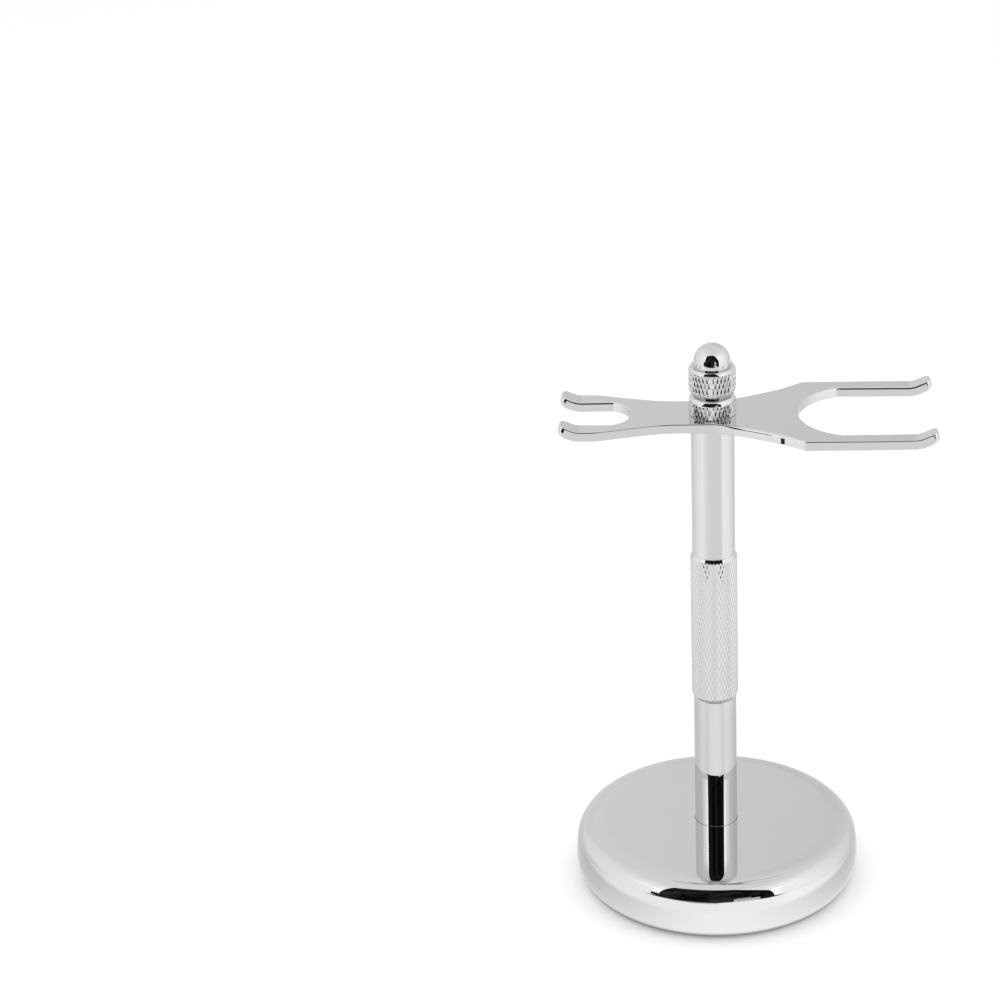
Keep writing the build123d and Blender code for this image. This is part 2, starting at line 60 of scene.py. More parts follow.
class Graph:
    """Short-hand for building one node tree."""

    def __init__(self, tree):
        self.tree = tree

    def node(self, kind):
        return self.tree.nodes.new("ShaderNode" + kind)

    def feed(self, value, socket):
        """Link an output to the socket, or set the socket to a plain value."""
        if isinstance(value, bpy.types.NodeSocket):
            self.tree.links.new(value, socket)
        else:
            socket.default_value = value

    def noise(self, vector, scale, detail=3.0, rough=0.5, stretch=(1, 1, 1)):
        mapping = self.node("Mapping")
        mapping.inputs["Scale"].default_value = stretch
        self.feed(vector, mapping.inputs["Vector"])
        noise = self.node("TexNoise")
        noise.inputs["Scale"].default_value = scale
        noise.inputs["Detail"].default_value = detail
        noise.inputs["Roughness"].default_value = rough
        self.feed(mapping.outputs["Vector"], noise.inputs["Vector"])
        return noise.outputs["Fac"]

    def remap(self, value, source, target=(0.0, 1.0)):
        """Carry the source range onto the target range, clamped."""
        node = self.node("MapRange")
        for side, limits in (("From", source), ("To", target)):
            node.inputs[side + " Min"].default_value = limits[0]
            node.inputs[side + " Max"].default_value = limits[1]
        self.feed(value, node.inputs["Value"])
        return node.outputs["Result"]

    def maths(self, operation, first, second=0.0):
        node = self.node("Math")
        node.operation = operation
        self.feed(first, node.inputs[0])
        self.feed(second, node.inputs[1])
        return node.outputs[0]

    def add(self, first, second):
        return self.maths("ADD", first, second)

    def multiply(self, first, second):
        return self.maths("MULTIPLY", first, second)

    def blend(self, factor, start, end):
        """start where factor is 0, end where factor is 1."""
        return self.add(self.multiply(factor, self.maths("SUBTRACT", end, start)), start)

    def darken(self, value, mask, amount):
        return self.multiply(value, self.maths("SUBTRACT", 1.0, self.multiply(mask, amount)))

    def between(self, value, low, high, soft):
        """1 between low and high, 0 outside, with edges of half-width soft."""
        rising = self.remap(value, (low - soft, low + soft))
        return self.multiply(rising, self.remap(value, (high - soft, high + soft), FALL))

    def colour_mix(self, factor, start, end):
        node = self.node("Mix")
        node.data_type = "RGBA"
        self.feed(factor, node.inputs["Factor"])
        for key, colour in (("A", start), ("B", end)):
            socket = next(s for s in node.inputs if s.name == key and s.type == "RGBA")
            self.feed((*colour, 1.0) if isinstance(colour, tuple) else colour, socket)
        return next(s for s in node.outputs if s.type == "RGBA")

    def bump(self, shader, height, strength, distance):
        node = self.node("Bump")
        node.inputs["Strength"].default_value = strength
        node.inputs["Distance"].default_value = distance
        self.feed(height, node.inputs["Height"])
        self.feed(node.outputs["Normal"], shader.inputs["Normal"])

    def axes(self, vector):
        node = self.node("SeparateXYZ")
        self.feed(vector, node.inputs["Vector"])
        return node.outputs

    def ray(self, kind):
        return self.node("LightPath").outputs[kind]

    def polar(self, x, y):
        """Degrees about Z from the front, -Y, growing towards +X."""
        angle = self.maths("ARCTAN2", x, self.multiply(y, -1.0))
        return self.multiply(angle, 180 / pi)

    def ramp(self, value, stops):
        """Piecewise-linear function of value; stops are (value, result)."""
        low, high = stops[0][0], stops[-1][0]
        place = self.remap(value, (low, high))
        node = self.node("ValToRGB")
        elements = node.color_ramp.elements
        while len(elements) > 1:
            elements.remove(elements[-1])
        peak = max(result for _, result in stops)
        for i, (stop, result) in enumerate(stops):
            position = (stop - low) / (high - low)
            element = elements[0] if i == 0 else elements.new(position)
            element.position = position
            element.color = (result / peak, result / peak, result / peak, 1)
        self.feed(place, node.inputs["Fac"])
        return self.multiply(node.outputs["Color"], peak)


def blank(name):
    """Material with nothing but an output node."""
    material = bpy.data.materials.new(name)
    material.use_nodes = True
    graph = Graph(material.node_tree)
    graph.tree.nodes.clear()
    surface = graph.node("OutputMaterial").inputs["Surface"]
    return material, graph, surface


def principled(name):
    material, graph, surface = blank(name)
    shader = graph.node("BsdfPrincipled")
    graph.feed(shader.outputs["BSDF"], surface)
    coords = graph.node("TexCoord").outputs["Object"]
    return material, graph, shader, coords, surface


# ===================================================================== materials
CHROME_TINT = (0.585, 0.592, 0.598)


def chrome(name, rough, hairline=None, wear=0.5, satin=()):
    """Plated mirror finish with faint wipe marks and rubbed edges. hairline is
    (noise stretch, bump strength) of polish marks. satin lists (low, high, amount)
    bands of height, in metres, that are rougher."""
    material, graph, shader, coords, _ = principled(name)
    shader.inputs["Metallic"].default_value = 1.0
    wipe = graph.noise(coords, scale=55.0, detail=4.0, rough=0.6)
    speck = graph.noise(coords, scale=2600.0, detail=2.0, rough=0.5)
    pointiness = graph.node("NewGeometry").outputs["Pointiness"]
    edge = graph.remap(pointiness, (0.52, 0.60), (0.0, wear))
    wiped = tuple(c * 0.975 for c in CHROME_TINT)
    rubbed = tuple(min(1.0, c * 1.05) for c in CHROME_TINT)
    tint = graph.colour_mix(wipe, CHROME_TINT, wiped)
    graph.feed(graph.colour_mix(edge, tint, rubbed), shader.inputs["Base Color"])
    total = graph.remap(wipe, (0.3, 0.75), (rough * 0.7, rough * 1.6))
    total = graph.add(total, graph.remap(speck, (0.62, 0.85), (0.0, rough * 1.2)))
    total = graph.add(total, graph.multiply(edge, 0.05))
    if satin:
        height = graph.axes(coords)["Z"]
        fade = 0.0002
        for low, high, amount in satin:
            rising = graph.remap(height, (low, low + fade), (0.0, amount))
            falling = graph.remap(height, (high - fade, high), FALL)
            total = graph.add(total, graph.multiply(rising, falling))
    graph.feed(total, shader.inputs["Roughness"])
    if hairline:
        stretch, strength = hairline
        marks = graph.noise(coords, scale=1.0, detail=2.0, rough=0.6, stretch=stretch)
        graph.bump(shader, marks, strength, distance=0.00001)
    return material


def metal(name, colour, dark, rough, scale, relief):
    """Unpolished metal: coarse noise mottles the colour, fine noise the surface."""
    material, graph, shader, coords, _ = principled(name)
    shader.inputs["Metallic"].default_value = 1.0
    coarse = graph.noise(coords, scale, detail=6.0, rough=0.65)
    fine = graph.noise(coords, scale * 6, detail=4.0, rough=0.6)
    mottle = graph.remap(coarse, (0.3, 0.7))
    graph.feed(graph.colour_mix(mottle, dark, colour), shader.inputs["Base Color"])
    roughness = graph.remap(fine, (0.3, 0.7), (rough * 0.75, min(1.0, rough * 1.3)))
    graph.feed(roughness, shader.inputs["Roughness"])
    graph.bump(shader, fine, strength=0.6, distance=relief)
    return material


def plastic(name, colour, dark, rough, scale, relief, cells=False):
    """Matt non-metal; cells adds a foam texture."""
    material, graph, shader, coords, _ = principled(name)
    mottle = graph.noise(coords, scale * 0.12, detail=4.0, rough=0.6)
    if cells:
        foam = graph.node("TexVoronoi")
        foam.inputs["Scale"].default_value = scale
        graph.feed(coords, foam.inputs["Vector"])
        grain = graph.noise(coords, scale * 2.3, detail=3.0, rough=0.6)
        height = graph.add(graph.multiply(foam.outputs["Distance"], 0.8), grain)
    else:
        height = graph.noise(coords, scale, detail=5.0, rough=0.6)
    graph.feed(graph.colour_mix(mottle, dark, colour), shader.inputs["Base Color"])
    roughness = graph.remap(height, (0.2, 1.2), (rough * 0.85, min(1.0, rough * 1.15)))
    graph.feed(roughness, shader.inputs["Roughness"])
    graph.bump(shader, height, strength=0.8, distance=relief)
    return material


BASE_CHROME = chrome("chrome_base", rough=0.010, wear=0.0)
POST_CHROME = chrome("chrome_post", rough=0.012, hairline=((200.0, 200.0, 7000.0), 0.012))
PLATE_CHROME = chrome("chrome_plate", rough=0.012)
GRIP_CHROME = chrome("chrome_knurl", rough=0.030, wear=0.9)
# the knurled bands of the two nuts were not polished afterwards
NUT_CHROME = chrome("chrome_nut", rough=0.014, wear=0.6,
                    satin=((0.1433, 0.1469, 0.16), (0.1511, 0.1560, 0.16)))
IRON = metal("cast_iron", colour=(0.15, 0.15, 0.155), dark=(0.08, 0.078, 0.075),
             rough=0.55, scale=700.0, relief=0.0002)
ZINC = metal("zinc_plated_steel", colour=(0.62, 0.62, 0.58), dark=(0.50, 0.51, 0.50),
             rough=0.28, scale=500.0, relief=0.00002)
SPRING = metal("spring_steel", colour=(0.30, 0.30, 0.31), dark=(0.20, 0.20, 0.22),
               rough=0.32, scale=600.0, relief=0.00002)
RUBBER = plastic("foam_rubber", colour=(0.040, 0.040, 0.042), dark=(0.022, 0.022, 0.024),
                 rough=0.75, scale=1900.0, relief=0.00018, cells=True)
NYLON = plastic("nylon", colour=(0.80, 0.79, 0.75), dark=(0.70, 0.69, 0.64),
                rough=0.42, scale=1500.0, relief=0.00002)
FIBRE = plastic("vulcanised_fibre", colour=(0.30, 0.075, 0.045), dark=(0.20, 0.05, 0.03),
                rough=0.6, scale=1800.0, relief=0.00004)


# ================================================================ mesh utilities
def add_piece(name, verts, faces, material, part, normals=None, sharp_deg=None):
    """Make an object from millimetres. part is (body, CAD node, slot); the slot is not used."""
    body, node, slot = part
    mesh = bpy.data.meshes.new(name)
    mesh.from_pydata([tuple(float(c) * MM for c in v) for v in verts], [], faces)
    mesh.validate(clean_customdata=False)
    mesh.materials.append(material)
    mesh.polygons.foreach_set("use_smooth", [True] * len(mesh.polygons))
    if sharp_deg is not None:
        mesh.set_sharp_from_angle(angle=math.radians(sharp_deg))
    if normals is not None:
        mesh.normals_split_custom_set_from_vertices([tuple(map(float, n)) for n in normals])
    mesh.update()
    piece = bpy.data.objects.new(name, mesh)
    scene.collection.objects.link(piece)
    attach(piece, body)
    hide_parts(node)


FILLET_STEP = 8.0  # degrees of turn per facet


def rounded(path):
    """Corners (radius, z, fillet) to points (radius, z, normal r, normal z) with
    tangent fillets; the two ends have no fillet. The path runs counter-clockwise
    in the radius-z plane."""
    spots = [np.array(point[:2], float) for point in path]
    lengths = [np.linalg.norm(b - a) for a, b in zip(spots, spots[1:])]
    headings = [(b - a) / span for a, b, span in zip(spots, spots[1:], lengths)]
    out = [(*spots[0], headings[0][1], -headings[0][0])]
    for i in range(1, len(path) - 1):
        before, after = headings[i - 1], headings[i]
        cross = before[0] * after[1] - before[1] * after[0]
        turn = math.atan2(cross, float(before @ after))
        normal = np.array([before[1], -before[0]])
        fillet = path[i][2]
        setback = fillet * math.tan(abs(turn) / 2)
        limit = 0.48 * min(lengths[i - 1], lengths[i])
        if setback > limit:
            fillet *= limit / setback
            setback = limit
        side = 1 if turn > 0 else -1
        centre = spots[i] - before * setback - side * normal * fillet
        steps = max(3, int(math.ceil(abs(math.degrees(turn)) / FILLET_STEP)))
        for j in range(steps + 1):
            cos, sin = math.cos(turn * j / steps), math.sin(turn * j / steps)
            spoke = np.array([normal[0] * cos - normal[1] * sin,
                              normal[0] * sin + normal[1] * cos])
            out.append((*(centre + side * spoke * fillet), *spoke))
    out.append((*spots[-1], headings[-1][1], -headings[-1][0]))
    return out


def spin(rows, segments, radius_at=None):
    """Rings of vertices about Z, one per row (radius, z, ...). A row of no radius
    is a single vertex. radius_at(row, angle) may shape the others."""
    verts, rings = [], []
    for row in rows:
        radius, z = row[:2]
        count = 1 if radius < 1e-6 else segments
        rings.append(range(len(verts), len(verts) + count))
        if count == 1:
            verts.append((0, 0, z))
            continue
        for k in range(segments):
            angle = 2 * pi * k / segments
            reach = radius_at(row, angle) if radius_at else radius
            verts.append((reach * math.cos(angle), reach * math.sin(angle), z))
    return verts, rings


def band(lower, upper, segments):
    """Faces between two neighbouring rings."""
    faces = []
    for k in range(segments):
        nxt = (k + 1) % segments
        if len(lower) == 1:
            faces.append((lower[0], upper[nxt], upper[k]))
        elif len(upper) == 1:
            faces.append((lower[k], lower[nxt], upper[0]))
        else:
            faces.append((lower[k], lower[nxt], upper[nxt], upper[k]))
    return faces


def lathe(name, profile, material, part, segments=192, closed=False):
    verts, rings = spin(profile, segments)
    normals = []
    for radius, _, out, up in profile:
        if radius < 1e-6:
            normals.append((0, 0, 1.0 if up >= 0 else -1.0))
            continue
        for k in range(segments):
            angle = 2 * pi * k / segments
            normals.append((out * math.cos(angle), out * math.sin(angle), up))
    pairs = list(zip(rings[:-1], rings[1:]))
    if closed:
        pairs.append((rings[-1], rings[0]))
    faces = [face for pair in pairs for face in band(*pair, segments)]
    add_piece(name, verts, faces, material, part, normals=normals)


class Knurl(NamedTuple):
    """Two crossing families of V grooves with flat-topped diamonds between."""
    starts: int  # grooves of each family around the body
    period: float  # groove pitch along Z
    depth: float
    crest: float  # radius of the diamonds
    datum: float  # height where the pattern starts
    sub: int  # mesh steps per pitch
    land: float  # part of each pitch the grooves leave untouched

    def families(self, around, z):
        """Closeness to a groove of each family, 0 to 1; around is in pitches."""
        along = (z - self.datum) / self.period
        return [abs(2 * ((around + s * along) % 1.0) - 1) for s in (1, -1)]

    def radius_at(self, row, angle):
        radius, z, cut = row
        if not cut:
            return radius
        groove = max(self.families(angle * self.starts / (2 * pi), z))
        depth = max(0.0, groove - self.land) / (1 - self.land) * self.depth
        return min(radius, self.crest - depth)

    def rows(self, low, high):
        """Cut rows at full radius, on the pattern's own steps."""
        step = self.period / self.sub
        first = int(math.ceil((low - self.datum) / step - 1e-9))
        last = int(math.floor((high - self.datum) / step + 1e-9))
        return [(self.crest, self.datum + k * step, True) for k in range(first, last + 1)]


def knurled(name, rows, material, part, knurl):
    """Turned body of rows (radius, z, whether the knurl cuts it)."""
    segments = knurl.starts * knurl.sub
    verts, rings = spin(rows, segments, knurl.radius_at)
    faces = []
    for i, (lower, upper) in enumerate(zip(rings[:-1], rings[1:])):
        if not (rows[i][2] and rows[i + 1][2]):
            faces += band(lower, upper, segments)
            continue
        middle = (rows[i][1] + rows[i + 1][1]) / 2
        for k in range(segments):
            nxt = (k + 1) % segments
            # the groove family that governs here decides the diagonal
            rising, falling = knurl.families((k + 0.5) / knurl.sub, middle)
            if rising > falling:
                faces.append((lower[k], lower[nxt], upper[k]))
                faces.append((lower[nxt], upper[nxt], upper[k]))
            else:
                faces.append((lower[k], lower[nxt], upper[nxt]))
                faces.append((lower[k], upper[nxt], upper[k]))
    add_piece(name, verts, faces, material, part, sharp_deg=14)


THREAD_MAJOR, THREAD_MINOR, THREAD_PITCH = 3.0, 2.46, 1.0
THREAD_CHAMFER = 0.6
THREAD_ROWS = 10  # mesh rows per turn
THREAD_SEGMENTS = 64


def threaded(name, bottom, top, material, part):
    """Stud with a right-hand thread and bevelled ends."""

    def radius_at(row, angle):
        z = row[1]
        phase = (z / THREAD_PITCH - angle / (2 * pi)) % 1.0
        ridge = 1 - abs(2 * phase - 1)
        rise = min(1.0, max(0.0, (ridge - 0.12) / 0.70))
        tip = THREAD_MAJOR - THREAD_CHAMFER
        flank = THREAD_MINOR + (THREAD_MAJOR - THREAD_MINOR) * rise
        return min(flank, tip + (z - bottom), tip + (top - z))

    count = int(round((top - bottom) / THREAD_PITCH * THREAD_ROWS))
    rows = [(THREAD_MAJOR, bottom + (top - bottom) * i / count) for i in range(count + 1)]
    verts, rings = spin([(0, bottom), *rows, (0, top)], THREAD_SEGMENTS, radius_at)
    faces = [f for pair in zip(rings[:-1], rings[1:]) for f in band(*pair, THREAD_SEGMENTS)]
    add_piece(name, verts, faces, material, part, sharp_deg=28)


# ==================================================================== dimensions
def z_span(node):
    low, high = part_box(node)
    return low.z / MM, high.z / MM


BASE_FOOT, BASE_TOP = z_span("base_disc")
GRIP_LOW, GRIP_HIGH = z_span("grip_barrel")
POST_FOOT = z_span("lower_post")[0]
POST_TOP = z_span("upper_post")[1]
NUT_LOW, NUT_HIGH = z_span("lock_nut")
DOME_LOW, DOME_HIGH = z_span("finial_dome")
PLATE_LOW = z_span("bearing_washer")[1]
PLATE_HIGH = NUT_LOW

BASE_R = 40.0
POST_R = 6.0
GRIP_R = 6.5
NUT_R = 6.4
BORE_R = 3.05
BORE_DEPTH = 10.4  # bores at the two grip joints
DRILL_CONE = 1.4  # height of a bore's conical end
FINIAL_TOP = 157.0

# ===================================================================== base disc
WALL_Z = 7.2  # widest height of the base
FOOT_R = 36.8
SEAT_R = 6.05  # hole the post stands in
SEAT_LIP = 0.08
BASE_FLAT_R = 20.0  # ring on the flat top
# (normal elevation at the start and end in degrees, arc radius, steps)
SHOULDER_ARCS = [(0.0, 10.5, 28.5, 16), (10.5, 14.8, 3.0, 6), (14.8, 50.0, 5.9, 24)]
SLOPE_TILT = 40.0  # degrees where the last arc ends
SLOPE_POWER = 2.5  # how fast the tilt dies away towards the top
SLOPE_STEPS, SLOPE_KEEP = 400, 10  # integration steps, and how many make a row


def base_foot():
    """Quarter ellipse from the foot out to the wall."""
    out = []
    width, height = BASE_R - FOOT_R, WALL_Z - BASE_FOOT
    steps = 24
    for i in range(steps + 1):
        angle = i / steps * pi / 2
        sin, cos = math.sin(angle), math.cos(angle)
        side, down = sin / width, -cos / height
        size = math.hypot(side, down)
        out.append((FOOT_R + width * sin, WALL_Z - height * cos, side / size, down / size))
    return out


def base_shoulder():
    """Three arcs up from the wall, then a slope that flattens out at the top."""
    out = []
    radius, z = BASE_R, WALL_Z
    for start, end, bend_r, steps in SHOULDER_ARCS:
        start, end = math.radians(start), math.radians(end)
        for i in range(1, steps + 1):
            a = start + (end - start) * (i - 1) / steps
            b = start + (end - start) * i / steps
            radius += bend_r * (math.cos(b) - math.cos(a))
            z += bend_r * (math.sin(b) - math.sin(a))
            out.append((radius, z, math.cos(b), math.sin(b)))

    def tilt_at(step):
        return math.radians(SLOPE_TILT) * (1 - step / SLOPE_STEPS) ** SLOPE_POWER

    tilts = [tilt_at(i + 0.5) for i in range(SLOPE_STEPS)]
    length = (BASE_TOP - z) / (sum(math.sin(t) for t in tilts) / SLOPE_STEPS)
    for i, tilt in enumerate(tilts):
        radius -= math.cos(tilt) * length / SLOPE_STEPS
        z += math.sin(tilt) * length / SLOPE_STEPS
        if (i + 1) % SLOPE_KEEP == 0:
            end = tilt_at(i + 1.0)
            out.append((radius, z, math.sin(end), math.cos(end)))
    out[-1] = (out[-1][0], BASE_TOP, 0.0, 1.0)
    return out


def base_profile():
    # (radius, z, fillet): seat, post floor, hollow underside, foot
    under = rounded([
        (SEAT_R, BASE_TOP - SEAT_LIP),
        (SEAT_R, 15.8, 0.1), (3.3, 15.8, 0.15),
        (3.3, 11.0, 0.15), (31.0, 11.0, 0.4),
        (31.0, 2.5, 0.15), (34.6, 2.5, 0.2),
        (34.6, BASE_FOOT, 0.25), (36.0, BASE_FOOT),
    ])
    lip = []
    for k in range(4, 0, -1):
        cos, sin = math.cos(pi / 2 * k / 4), math.sin(pi / 2 * k / 4)
        lip.append((SEAT_R + SEAT_LIP * (1 - cos), BASE_TOP - SEAT_LIP + SEAT_LIP * sin,
                    -cos, sin))
    return under + base_foot() + base_shoulder() + [(BASE_FLAT_R, BASE_TOP, 0, 1)] + lip


lathe("base_disc_shell", base_profile(), BASE_CHROME, ("stand", "base_disc", "chrome_base"),
      segments=320, closed=True)

# anti-slip pad
pad_lo, pad_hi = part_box("base_pad")
PAD_R = (pad_hi.x - pad_lo.x) / 2 / MM
PAD_TOP = 2.4
lathe("base_pad_foam",
      rounded([(0, 0), (PAD_R, 0, 0.55), (PAD_R, PAD_TOP, 0.25), (0, PAD_TOP)]),
      RUBBER, ("stand", "base_pad", "pad_rubber"))

# ========================================================================= posts
FOOT_BORE_END, TOP_BORE_END = 32.0, 124.0
POST_RIM_R, POST_RIM_DEPTH = 5.0, 0.7  # recess in the upper post's top
lathe("lower_post_bar", rounded([
    (0, FOOT_BORE_END + DRILL_CONE),
    (BORE_R, FOOT_BORE_END, 0.1),
    (BORE_R, POST_FOOT, 0.1),
    (POST_R, POST_FOOT, 0.2),
    (POST_R, GRIP_LOW, 0.10),
    (BORE_R, GRIP_LOW, 0.1),
    (BORE_R, GRIP_LOW - BORE_DEPTH, 0.1),
    (0, GRIP_LOW - BORE_DEPTH - DRILL_CONE),
]), POST_CHROME, ("stand", "lower_post", "chrome_turned"))
lathe("upper_post_bar", rounded([
    (0, GRIP_HIGH + BORE_DEPTH + DRILL_CONE),
    (BORE_R, GRIP_HIGH + BORE_DEPTH, 0.1),
    (BORE_R, GRIP_HIGH, 0.1),
    (POST_R, GRIP_HIGH, 0.10),
    (POST_R, POST_TOP, 0.18),
    (POST_RIM_R, POST_TOP, 0.08),
    (POST_RIM_R, POST_TOP - POST_RIM_DEPTH, 0.05),
    (BORE_R, POST_TOP - POST_RIM_DEPTH, 0.05),
    (BORE_R, TOP_BORE_END, 0.1),
    (0, TOP_BORE_END - DRILL_CONE),
]), POST_CHROME, ("stand", "upper_post", "chrome_turned"))

# ================================================================== knurled grip
GRIP_KNURL = Knurl(starts=40, period=3.0, depth=0.13, crest=GRIP_R,
                   datum=(GRIP_LOW + GRIP_HIGH) / 2, sub=8, land=0.25)
GRIP_CONE = 1.25  # height of the tapered ends
CONE_STEPS = 16
GRIP_STEP = GRIP_R - POST_R


def grip_rows():
    taper = [(GRIP_STEP * i / CONE_STEPS, GRIP_CONE * i / CONE_STEPS)
             for i in range(CONE_STEPS + 1)]
    rows = [
        (0, GRIP_LOW + BORE_DEPTH + DRILL_CONE, False),
        (BORE_R, GRIP_LOW + BORE_DEPTH, False),
        (BORE_R, GRIP_LOW + 0.02, False),
        (3.07, GRIP_LOW, False),
        (5.94, GRIP_LOW, False),
        (5.975, GRIP_LOW + 0.02, False),
    ]
    rows += [(POST_R + out, GRIP_LOW + rise, True) for out, rise in taper[1:]]
    rows += GRIP_KNURL.rows(GRIP_LOW + GRIP_CONE + 0.05, GRIP_HIGH - GRIP_CONE - 0.05)
    rows += [(GRIP_R - out, GRIP_HIGH - GRIP_CONE + rise, True) for out, rise in taper[:-1]]
    return rows + [
        (5.975, GRIP_HIGH - 0.02, False),
        (5.94, GRIP_HIGH, False),
        (3.07, GRIP_HIGH, False),
        (BORE_R, GRIP_HIGH - 0.02, False),
        (BORE_R, GRIP_HIGH - BORE_DEPTH, False),
        (0, GRIP_HIGH - BORE_DEPTH - DRILL_CONE, False),
    ]


knurled("grip_barrel_knurled", grip_rows(), GRIP_CHROME,
        ("stand", "grip_barrel", "chrome_knurled"), GRIP_KNURL)

# ====================================================================== lock nut
LOCK_KNURL = Knurl(starts=36, period=3.2, depth=0.19, crest=NUT_R, datum=NUT_LOW,
                   sub=16, land=0.36)
LOCK_SHOULDER_Z, LOCK_SHOULDER_R = 147.3, 1.6  # start and arc radius of the shoulder


def lock_nut_rows():
    rows = [
        (BORE_R, NUT_LOW + 1.0, False),
        (5.48, NUT_LOW + 1.0, False),
        (5.5, NUT_LOW + 0.98, False),
        (5.5, NUT_LOW + 0.03, False),
        (5.53, NUT_LOW, False),
        (6.05, NUT_LOW, False),
        (6.13, NUT_LOW + 0.02, True),
    ]
    # chamfer up to the knurled band
    rows += [(6.15 + 0.25 * k / 4, NUT_LOW + 0.04 + 0.24 * k / 4, True) for k in range(5)]
    rows += LOCK_KNURL.rows(NUT_LOW + 0.34, 147.0)
    rows += [(NUT_R, 147.12, False), (NUT_R, LOCK_SHOULDER_Z, False)]
    for k in range(1, 15):
        angle = math.radians(55.0) * k / 14
        rows.append((NUT_R - LOCK_SHOULDER_R + LOCK_SHOULDER_R * math.cos(angle),
                     LOCK_SHOULDER_Z + LOCK_SHOULDER_R * math.sin(angle), False))
    return rows + [
        (5.08, NUT_HIGH - 0.03, False),
        (4.98, NUT_HIGH, False),
        (3.10, NUT_HIGH, False),
        (BORE_R, NUT_HIGH - 0.05, False),
        (BORE_R, NUT_LOW + 1.0, False),
    ]


knurled("lock_nut_knurled", lock_nut_rows(), NUT_CHROME,
        ("lock_nut", "lock_nut", "chrome_knurled"), LOCK_KNURL)

# ==================================================================== finial nut
FINIAL_KNURL = LOCK_KNURL._replace(datum=150.95)
FINIAL_FOOT_R = 2.012  # arc tangent to the knurled band


def finial_nut_rows():
    rows = [
        (BORE_R, NUT_HIGH + 0.05, False),
        (3.10, NUT_HIGH, False),
        (4.92, NUT_HIGH, False),
        (4.95, NUT_HIGH + 0.03, False),
        (4.97, NUT_HIGH + 0.12, False),
        (5.05, NUT_HIGH + 0.15, False),
    ]
    for k in range(1, 15):
        angle = math.radians(-70.8) * (1 - k / 14)
        rows.append((NUT_R - FINIAL_FOOT_R + FINIAL_FOOT_R * math.cos(angle),
                     FINIAL_KNURL.datum + FINIAL_FOOT_R * math.sin(angle), k > 11))
    rows += FINIAL_KNURL.rows(151.0, 156.1)
    return rows + [
        (NUT_R, 156.16, False),
        (NUT_R, 156.22, False),
        (NUT_R - 0.02, 156.27, False),
        (NUT_R - 0.26, 156.62, False),
        (NUT_R - 0.50, 156.97, False),
        (NUT_R - 0.53, FINIAL_TOP, False),
        (3.10, FINIAL_TOP, False),
        (BORE_R, FINIAL_TOP - 0.05, False),
        (BORE_R, NUT_HIGH + 0.05, False),
    ]


knurled("finial_nut_knurled", finial_nut_rows(), NUT_CHROME,
        ("finial", "finial_nut", "chrome_knurled"), FINIAL_KNURL)

# =================================================================== finial dome
DOME_R = 5.03
DOME_CENTRE = DOME_HIGH - DOME_R
SPIGOT_R = 2.98
DOME_STEPS = 40


def dome_profile():
    """Spigot, flat underside, short wall and a hemisphere."""
    profile = rounded([
        (0, DOME_LOW), (SPIGOT_R, DOME_LOW, 0.25), (SPIGOT_R, FINIAL_TOP, 0.05),
        (DOME_R, FINIAL_TOP, 0.06), (DOME_R, DOME_CENTRE),
    ])[:-1]
    for k in range(DOME_STEPS + 1):
        cos, sin = math.cos(pi / 2 * k / DOME_STEPS), math.sin(pi / 2 * k / DOME_STEPS)
        radius = DOME_R * cos if k < DOME_STEPS else 0.0
        profile.append((radius, DOME_CENTRE + DOME_R * sin, cos, sin))
    return profile


lathe("finial_dome_cap", dome_profile(), POST_CHROME, ("dome", "finial_dome", "chrome_turned"),
      segments=128)

# ==================================================================== fork plate
# The plate is drawn flat, then the prong ends are bent upwards.
BEND_ANGLE = math.radians(24.0)
BEND_R = 6.5  # on the upper face
BEND_MID_R = BEND_R + (PLATE_HIGH - PLATE_LOW) / 2
BRUSH_BEND, RAZOR_BEND = 53.4, -35.4  # x where the bends start


def flat_length(run):
    """Length in the flat of a prong end that reaches run along X once bent."""
    straight = (run - BEND_R * math.sin(BEND_ANGLE)) / math.cos(BEND_ANGLE)
    return BEND_MID_R * BEND_ANGLE + straight


BRUSH_TIP = BRUSH_BEND + flat_length(6.0)
RAZOR_TIP = RAZOR_BEND - flat_length(5.45)
BRUSH_IN, BRUSH_OUT = 15.35, 19.93  # y of the brush prong's two sides at its tip
RAZOR_IN, RAZOR_OUT = 7.2, 12.75
TIP_CORNER = 1.45
# outer edge for y > 0 as (x, y), from the brush prongs to the middle
BRUSH_EDGE = [(24.6, 20.15), (18.8, 16.15), (12.9, 12.95), (6.6, 10.05), (0.5, 7.95)]
# and from the middle to the razor prongs
RAZOR_EDGE = [(-10.0, 7.95), (-14.2, 8.3), (-18.5, 9.2), (-23.4, 10.45), (-28.6, 11.95),
              (-33.0, RAZOR_OUT)]


